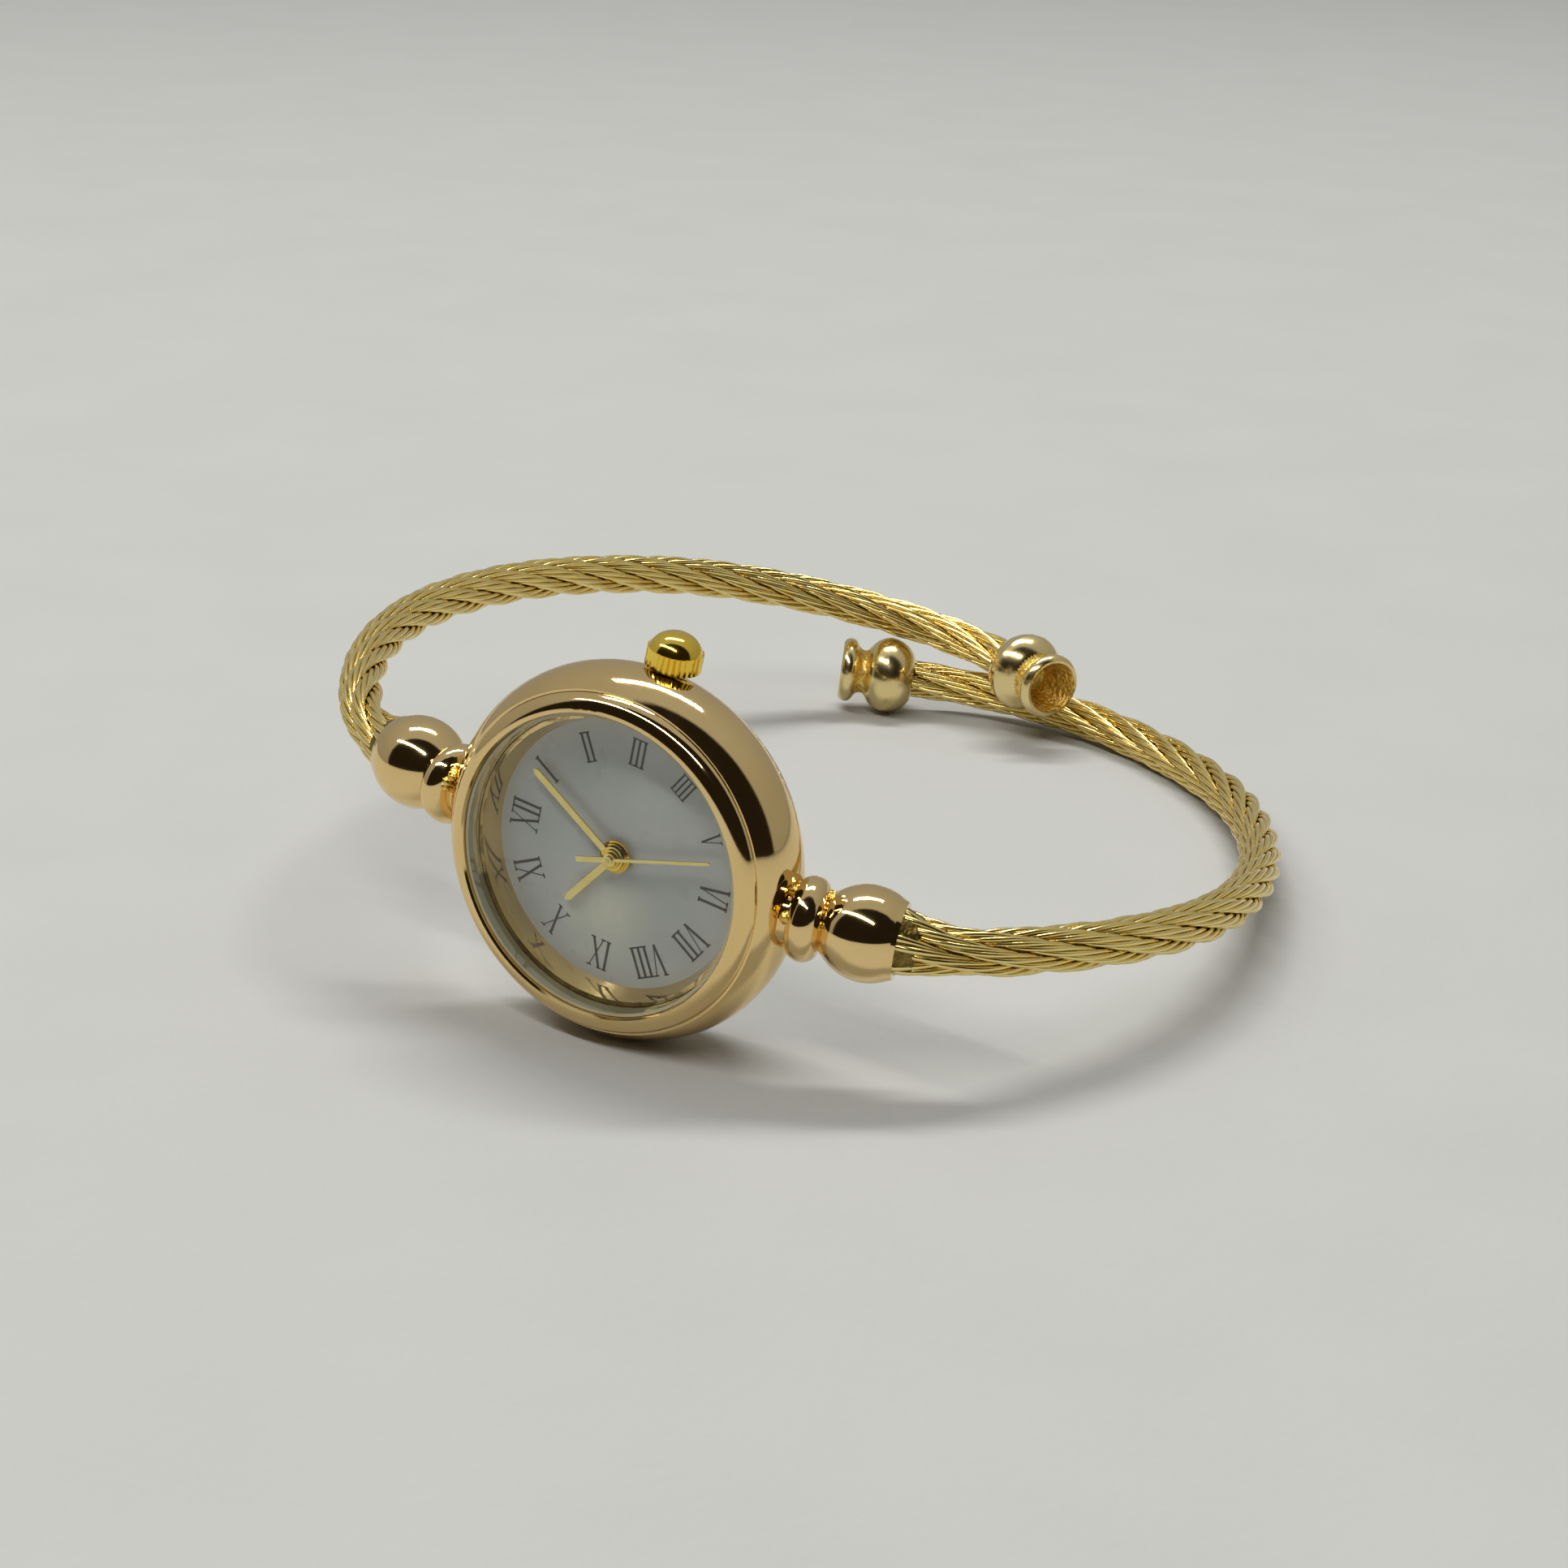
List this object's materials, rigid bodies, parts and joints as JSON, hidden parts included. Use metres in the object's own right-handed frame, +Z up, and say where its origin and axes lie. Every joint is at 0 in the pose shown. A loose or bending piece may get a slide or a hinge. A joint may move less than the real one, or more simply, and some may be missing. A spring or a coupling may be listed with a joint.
{
  "type": "bangle watch",
  "caption": "Slim gold bangle watch: round quartz head with Roman dial, beaded lugs and two springy wire-rope arms ending in flared ball caps.",
  "frame": {"origin": "on the table, under the middle of the watch's box as it lies on its 9 o'clock side", "axes": "+Z up from the table, close to the dial's 3 o'clock; +Y into the bangle, away from the dial's face; +X towards 6 o'clock"},
  "size_m": [0.0652, 0.0728, 0.0261],
  "materials": {
    "gold_case": "mirror-polished gold plate",
    "gold_crown": "polished deeper gold plate",
    "gold_cap": "polished champagne gold plate",
    "gold_rope": "drawn gold-plated wire",
    "gold_hands": "polished gold",
    "back_steel": "satin",
    "crystal_glass": "clear, polished",
    "dial_pearl": "mother-of-pearl under clear lacquer",
    "seal_rubber": "matte",
    "clear_gasket": "translucent",
    "holder_plastic": "moulded",
    "train_brass": "machined",
    "plate_brass": "nickel-washed",
    "steel": "polished",
    "battery_steel": "satin nickel",
    "copper_coil": "enamelled copper wire",
    "soft_iron": "annealed",
    "board_green": "solder mask"
  },
  "bodies": {
    "watch": {"case_body": "gold_case", "bezel": "gold_case", "crystal": "crystal_glass", "crystal_gasket": "clear_gasket", "dial_flange": "gold_case", "case_back": "back_steel", "back_gasket": "seal_rubber", "dial": "dial_pearl", "crown_tube": "gold_case", "lug_12": "gold_case", "lug_6": "gold_case", "rope_12": "gold_rope", "rope_6": "gold_rope", "end_cap_12": "gold_cap", "end_cap_6": "gold_cap", "movement_holder": "holder_plastic", "main_plate": "plate_brass", "train_bridge": "plate_brass", "movement_screws": "steel", "battery": "battery_steel", "battery_clamp": "steel", "coil": "copper_coil", "stator": "soft_iron", "circuit_board": "board_green", "quartz_can": "battery_steel"},
    "crown_carriage": {"crown_gasket": "seal_rubber"},
    "crown_and_stem": {"crown": "gold_crown", "winding_stem": "steel", "clutch_pinion": "steel"},
    "setting_lever": {"setting_lever": "steel"},
    "seconds_arbor": {"fourth_wheel": "train_brass", "second_hand": "gold_hands"},
    "minute_arbor": {"centre_wheel": "train_brass", "minute_hand": "gold_hands"},
    "hour_pipe": {"hour_wheel": "train_brass", "hour_hand": "gold_hands"},
    "third_arbor": {"third_wheel": "train_brass"},
    "fifth_arbor": {"fifth_wheel": "train_brass"},
    "motor_rotor": {"rotor": "steel"},
    "motion_wheel": {"minute_wheel": "train_brass"}
  },
  "joints": [
    {"name": "crown_pull", "type": "slide", "parent": "watch", "child": "crown_carriage", "axis": [0.1886, 0.0151, 0.9819], "range_m": [0, 0.0006]},
    {"name": "crown_turn", "type": "hinge", "parent": "crown_carriage", "child": "crown_and_stem", "pos_m": [0.00435, -0.03108, 0.02393], "axis": [0.1886, 0.0151, 0.9819], "continuous": true},
    {"name": "lever_swing", "type": "hinge", "parent": "watch", "child": "setting_lever", "pos_m": [0, -0.03193, 0.01928], "axis": [0, -0.9999, 0.0154], "range_deg": [0, 11.5]},
    {"name": "seconds_turn", "type": "hinge", "parent": "watch", "child": "seconds_arbor", "pos_m": [0.00207, -0.03346, 0.01208], "axis": [0, 0.9999, -0.0154], "continuous": true},
    {"name": "minute_turn", "type": "hinge", "parent": "watch", "child": "minute_arbor", "pos_m": [0.00207, -0.03346, 0.01208], "axis": [0, 0.9999, -0.0154], "continuous": true},
    {"name": "hour_turn", "type": "hinge", "parent": "watch", "child": "hour_pipe", "pos_m": [0.00207, -0.03346, 0.01208], "axis": [0, 0.9999, -0.0154], "continuous": true},
    {"name": "third_turn", "type": "hinge", "parent": "watch", "child": "third_arbor", "pos_m": [0.0002, -0.03344, 0.0137], "axis": [0, 0.9999, -0.0154], "continuous": true},
    {"name": "fifth_turn", "type": "hinge", "parent": "watch", "child": "fifth_arbor", "pos_m": [0.00445, -0.03345, 0.0129], "axis": [0, 0.9999, -0.0154], "continuous": true},
    {"name": "rotor_turn", "type": "hinge", "parent": "watch", "child": "motor_rotor", "pos_m": [0.00563, -0.03342, 0.01472], "axis": [0, 0.9999, -0.0154], "continuous": true},
    {"name": "motion_turn", "type": "hinge", "parent": "watch", "child": "motion_wheel", "pos_m": [0.00219, -0.03342, 0.01447], "axis": [0, 0.9999, -0.0154], "continuous": true}
  ],
  "couplings": [
    {"joint": "third_turn", "follows": "seconds_turn", "ratio": -0.125},
    {"joint": "minute_turn", "follows": "seconds_turn", "ratio": 0.016667},
    {"joint": "motion_turn", "follows": "seconds_turn", "ratio": -0.0055556},
    {"joint": "hour_turn", "follows": "seconds_turn", "ratio": 0.0013889},
    {"joint": "fifth_turn", "follows": "seconds_turn", "ratio": -6},
    {"joint": "rotor_turn", "follows": "seconds_turn", "ratio": 30},
    {"joint": "lever_swing", "follows": "crown_pull", "rad_per_m": 334.43}
  ]
}
